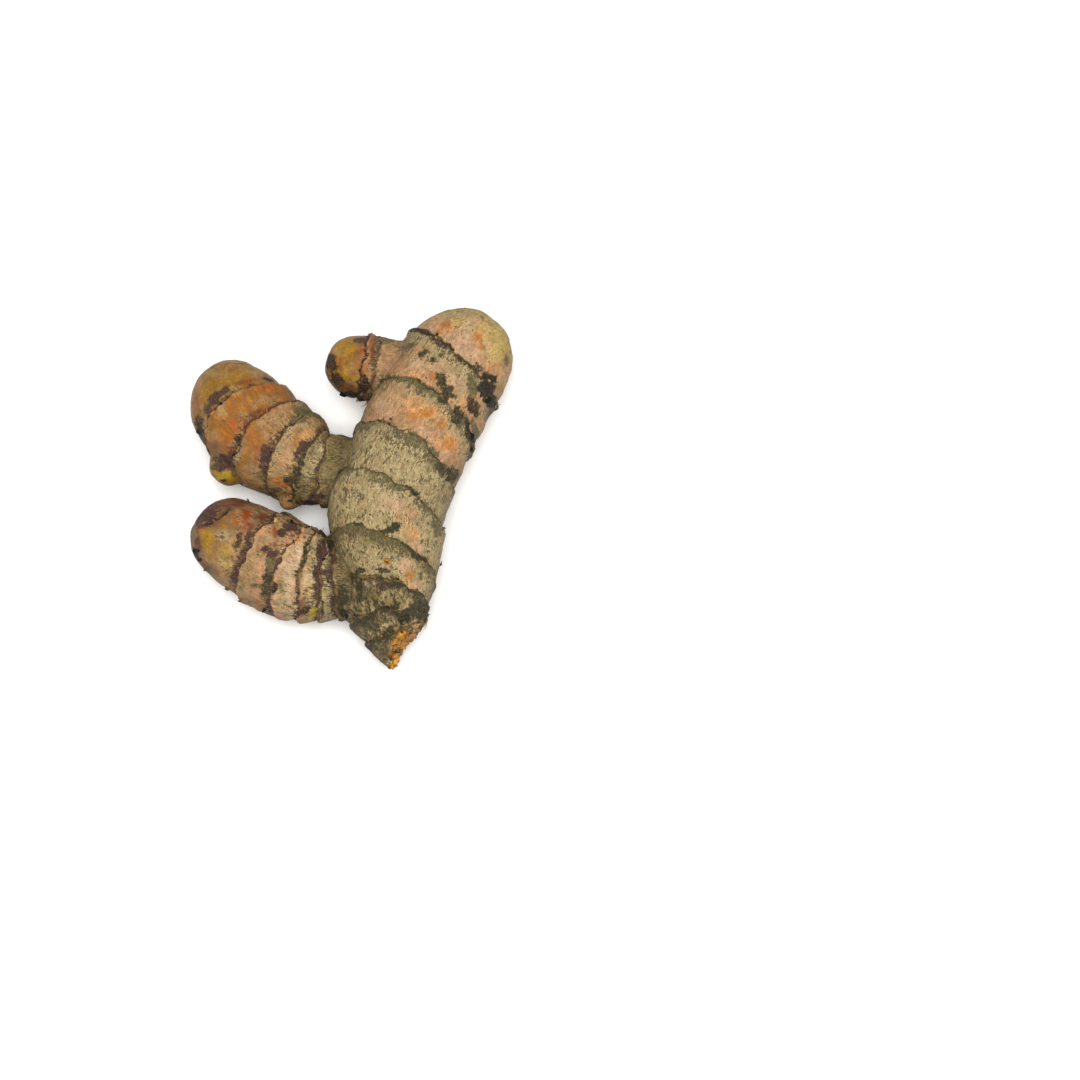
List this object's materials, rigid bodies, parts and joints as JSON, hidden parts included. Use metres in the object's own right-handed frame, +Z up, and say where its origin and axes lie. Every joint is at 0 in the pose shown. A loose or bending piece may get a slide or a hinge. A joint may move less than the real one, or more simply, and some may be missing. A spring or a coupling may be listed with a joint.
{
  "type": "turmeric root",
  "caption": "Branched fresh turmeric root with ringed skin, thick fingers and a snapped end, lying flat.",
  "frame": {"origin": "middle of the box around the root, at the surface that it rests on", "axes": "+Z up; +Y along the thick mother limb, from its snapped end to its growing end; the fingers point to -X"},
  "size_m": [0.085, 0.0984, 0.0297],
  "materials": {
    "turmeric_skin": "dry papery skin, matte, with dark ragged rings and pale pink to orange patches"
  },
  "bodies": {
    "root": {"turmeric_root": "turmeric_skin"}
  },
  "joints": []
}
